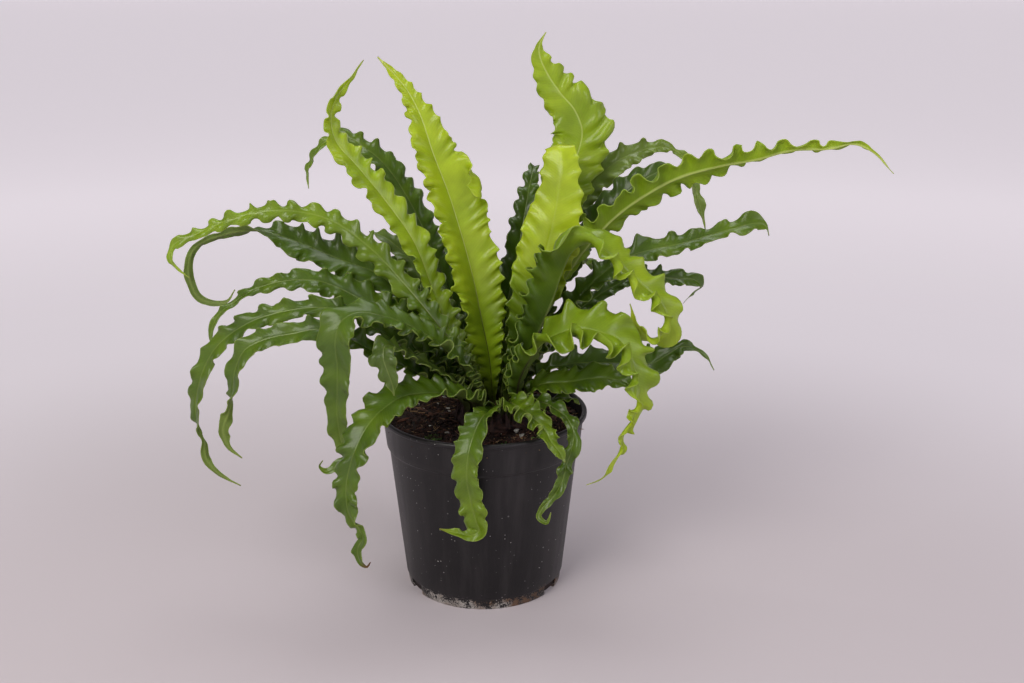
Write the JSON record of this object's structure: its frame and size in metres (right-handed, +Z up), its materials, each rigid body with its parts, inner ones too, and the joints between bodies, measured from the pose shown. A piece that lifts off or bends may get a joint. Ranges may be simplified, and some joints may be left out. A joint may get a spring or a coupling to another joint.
{
  "type": "potted osaka birds nest fern",
  "caption": "Bird's nest fern with long waved and curling fronds that rise and arch from a low rootstock, standing in soil in a round tapered nursery pot with a collared rim.",
  "frame": {"origin": "middle of the pot's flat underside", "axes": "+Z up, out of the pot. -Y is the front, the side the picture looks at. +X is to the right, towards the longest frond"},
  "size_m": [0.546, 0.3309, 0.4476],
  "materials": {
    "pot": "satin",
    "soil": "matte",
    "rootstock": "matte",
    "frond_lime": "satin",
    "frond_fresh": "satin",
    "frond_mid": "satin",
    "frond_dark": "satin"
  },
  "bodies": {
    "root": {"pot": "pot", "soil": "soil", "rootstock": "rootstock", "frond_tall_left": "frond_lime", "frond_tall_right_front": "frond_lime", "frond_tall_right_back": "frond_lime", "frond_upright_behind": "frond_dark", "frond_left_high_curl": "frond_lime", "frond_left_high_back": "frond_dark", "frond_left_inner_short": "frond_mid", "frond_left_long_arch": "frond_fresh", "frond_left_dark_arch": "frond_mid", "frond_left_back_short": "frond_dark", "frond_left_second_arch": "frond_mid", "frond_left_long_droop": "frond_mid", "frond_left_third_droop": "frond_mid", "frond_left_curly_droop": "frond_mid", "frond_left_small_bow": "frond_mid", "frond_front_left_low_droop": "frond_fresh", "frond_front_middle_droop": "frond_fresh", "frond_front_right_curly": "frond_fresh", "frond_front_right_droop": "frond_mid", "frond_right_low": "frond_mid", "frond_right_flat": "frond_dark", "frond_right_lime_droop": "frond_lime", "frond_right_lime_arch": "frond_lime", "frond_right_longest": "frond_fresh", "frond_right_back_high": "frond_dark", "frond_right_back_broad": "frond_dark", "frond_right_middle": "frond_dark", "frond_right_back_narrow": "frond_dark", "frond_right_rim_young": "frond_mid", "frond_back_left_high": "frond_mid", "frond_back_middle_high": "frond_mid", "frond_back_right_high": "frond_mid", "frond_back_left_low": "frond_mid", "frond_back_right_low": "frond_mid", "frond_back_middle_low": "frond_mid"}
  },
  "joints": []
}
